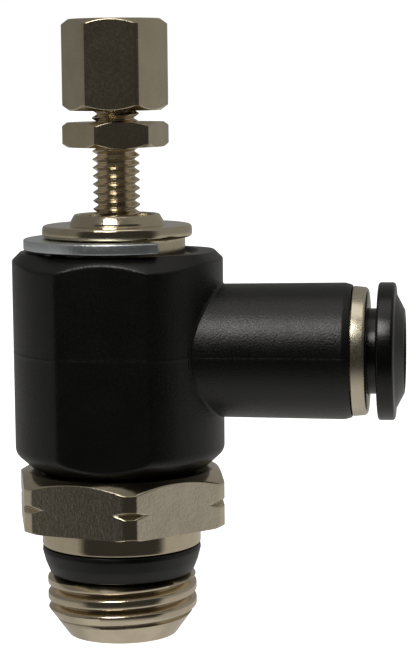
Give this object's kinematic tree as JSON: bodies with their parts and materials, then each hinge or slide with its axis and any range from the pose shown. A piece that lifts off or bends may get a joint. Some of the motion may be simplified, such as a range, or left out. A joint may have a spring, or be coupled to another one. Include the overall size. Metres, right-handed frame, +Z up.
{
  "type": "flow control valve",
  "caption": "Screw-in elbow flow control valve: hollow threaded stem, swivel body with push-in tube port, and a needle set by a hex knob and locked by a nut.",
  "frame": {"origin": "on the stem's axis at the collar's underside, the shoulder that meets the threaded port", "axes": "+Z up the stem's axis towards the adjusting knob, +X out along the push-in tube port"},
  "size_m": [0.0338, 0.0186, 0.0527],
  "materials": {
    "nickel": "satin nickel plate on turned and drawn brass",
    "zinc": "bright zinc plate on punched steel",
    "body_plastic": "fine spark-eroded moulded texture",
    "button_plastic": "smooth moulded",
    "seal_plastic": "smooth, slightly glossy",
    "nitrile": "matt",
    "plain_brass": "machined",
    "stainless": "rolled spring strip",
    "acetal": "moulded"
  },
  "bodies": {
    "stem": {"threaded_stem": "nickel", "port_sealing_ring": "seal_plastic", "needle_guide_bush": "plain_brass", "guide_bush_o_ring": "nitrile", "lower_body_o_ring": "nitrile", "upper_body_o_ring": "nitrile", "check_lip_seal": "nitrile", "needle_seat_ring": "plain_brass", "seat_ring_o_ring": "nitrile"},
    "elbow": {"swivel_body": "body_plastic", "cartridge_ring": "nickel", "grip_ring": "stainless", "grip_ring_spacer": "acetal", "tube_o_ring": "nitrile"},
    "clip": {"retaining_clip": "zinc"},
    "needle_slide": {"needle_o_ring": "nitrile"},
    "needle": {"metering_needle": "nickel", "adjusting_knob": "nickel"},
    "nut": {"lock_nut": "nickel"},
    "button": {"release_button": "button_plastic"}
  },
  "joints": [
    {"name": "elbow_swivel", "type": "hinge", "parent": "stem", "child": "elbow", "pos_m": [0, 0, 0.0167], "axis": [0, 0, 1], "continuous": true},
    {"name": "clip_turn", "type": "hinge", "parent": "stem", "child": "clip", "pos_m": [0, 0, 0.02587], "axis": [0, 0, 1], "continuous": true},
    {"name": "needle_travel", "type": "slide", "parent": "stem", "child": "needle_slide", "axis": [0, 0, -1], "range_m": [0, 0.0049]},
    {"name": "needle_turn", "type": "hinge", "parent": "needle_slide", "child": "needle", "pos_m": [0, 0, 0.03], "axis": [0, 0, -1], "range_deg": [0, 2521]},
    {"name": "lock_nut_travel", "type": "slide", "parent": "needle", "child": "nut", "axis": [0, 0, 1], "range_m": [-0.0055, 0.00075]},
    {"name": "button_press", "type": "slide", "parent": "elbow", "child": "button", "axis": [-1, 0, 0], "range_m": [0, 0.0007], "stiffness_N_per_m": 60, "springref_m": -0.0005}
  ],
  "couplings": [
    {"joint": "needle_turn", "follows": "needle_travel", "rad_per_m": 8976}
  ]
}
